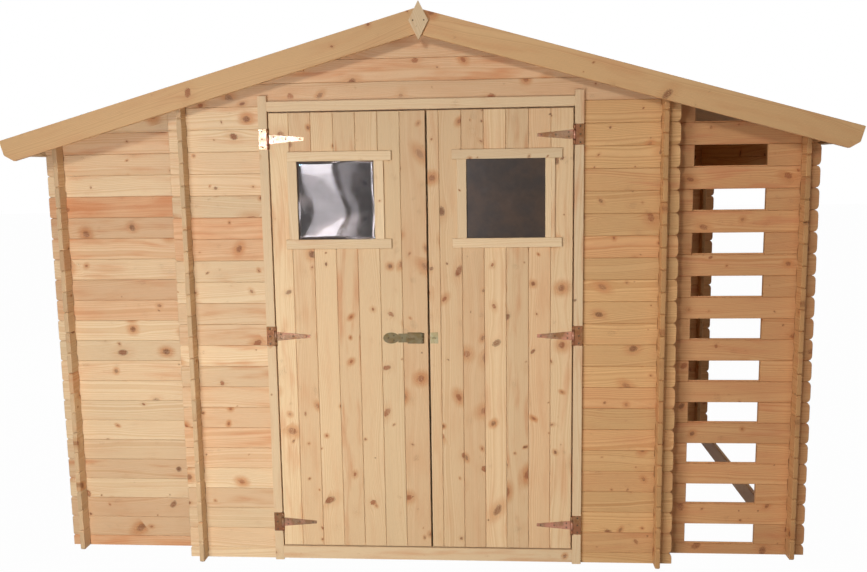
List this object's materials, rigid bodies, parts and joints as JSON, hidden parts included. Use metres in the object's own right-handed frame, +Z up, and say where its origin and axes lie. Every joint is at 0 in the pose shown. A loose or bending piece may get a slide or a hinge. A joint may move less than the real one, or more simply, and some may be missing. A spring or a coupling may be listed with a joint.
{
  "type": "timber shed with log store",
  "caption": "Notched-board timber shed with a gabled roof, glazed double doors, a closed side room and a slatted log store with an open end.",
  "frame": {"origin": "on the ground, under the middle of the roof in plan", "axes": "+X to the right along the front, towards the log store; +Y from the front with the doors to the back; +Z up"},
  "size_m": [3.342, 2.104, 2.265],
  "materials": {
    "wall_boards": "planed untreated pine boards, knotty, tongued and grooved",
    "door_boards": "planed untreated pine, upright boards",
    "planed_trim": "planed untreated pine trim",
    "roof_boards": "planed untreated pine roof boards and beams",
    "floor_boards": "planed untreated pine floor boards on bearers",
    "plated_steel": "yellow-passivated zinc plate, dulled",
    "clear_sheet": "thin clear acrylic sheet, slightly wavy"
  },
  "bodies": {
    "shed": {"front_wall_left": "wall_boards", "front_wall_right": "wall_boards", "front_gable": "wall_boards", "back_wall": "wall_boards", "side_room_front_wall": "wall_boards", "side_room_back_wall": "wall_boards", "side_room_end_wall": "wall_boards", "left_partition_front": "wall_boards", "left_partition_back": "wall_boards", "left_partition_head": "wall_boards", "right_partition": "wall_boards", "log_store_slatted_front": "wall_boards", "log_store_back_wall": "wall_boards", "log_store_end_sill": "wall_boards", "log_store_front_pier": "wall_boards", "log_store_back_pier": "wall_boards", "log_store_end_head": "wall_boards", "roof_deck_left": "roof_boards", "roof_deck_right": "roof_boards", "ridge_purlin": "roof_boards", "purlin_left": "roof_boards", "purlin_right": "roof_boards", "eaves_board_left": "planed_trim", "eaves_board_right": "planed_trim", "front_barge_board_left": "planed_trim", "front_barge_board_right": "planed_trim", "back_barge_board_left": "planed_trim", "back_barge_board_right": "planed_trim", "front_finial": "planed_trim", "back_finial": "planed_trim", "door_post_left": "planed_trim", "door_post_right": "planed_trim", "door_head": "planed_trim", "door_threshold": "planed_trim", "main_floor": "floor_boards", "side_room_floor": "floor_boards", "floor_bearers": "floor_boards", "hinge_plates": "plated_steel"},
    "left_door": {"left_door_leaf": "door_boards", "left_door_ledges": "door_boards", "left_window_trim": "planed_trim", "left_window_pane": "clear_sheet", "left_door_hinge_straps": "plated_steel", "hasp_plate": "plated_steel"},
    "right_door": {"right_door_leaf": "door_boards", "right_door_ledges": "door_boards", "right_window_trim": "planed_trim", "right_window_pane": "clear_sheet", "right_door_hinge_straps": "plated_steel", "hasp_staple": "plated_steel"},
    "hasp": {"hasp_flap": "plated_steel"}
  },
  "joints": [
    {"name": "left_door_swing", "type": "hinge", "parent": "shed", "child": "left_door", "pos_m": [-0.6035, -0.9665, 0.963], "axis": [0, 0, -1], "range_deg": [0, 160]},
    {"name": "right_door_swing", "type": "hinge", "parent": "shed", "child": "right_door", "pos_m": [0.6035, -0.9665, 0.963], "axis": [0, 0, 1], "range_deg": [0, 160]},
    {"name": "hasp_flap_swing", "type": "hinge", "parent": "left_door", "child": "hasp", "pos_m": [0.001, -0.966, 0.958], "axis": [0, 0, 1], "range_deg": [0, 180]}
  ]
}
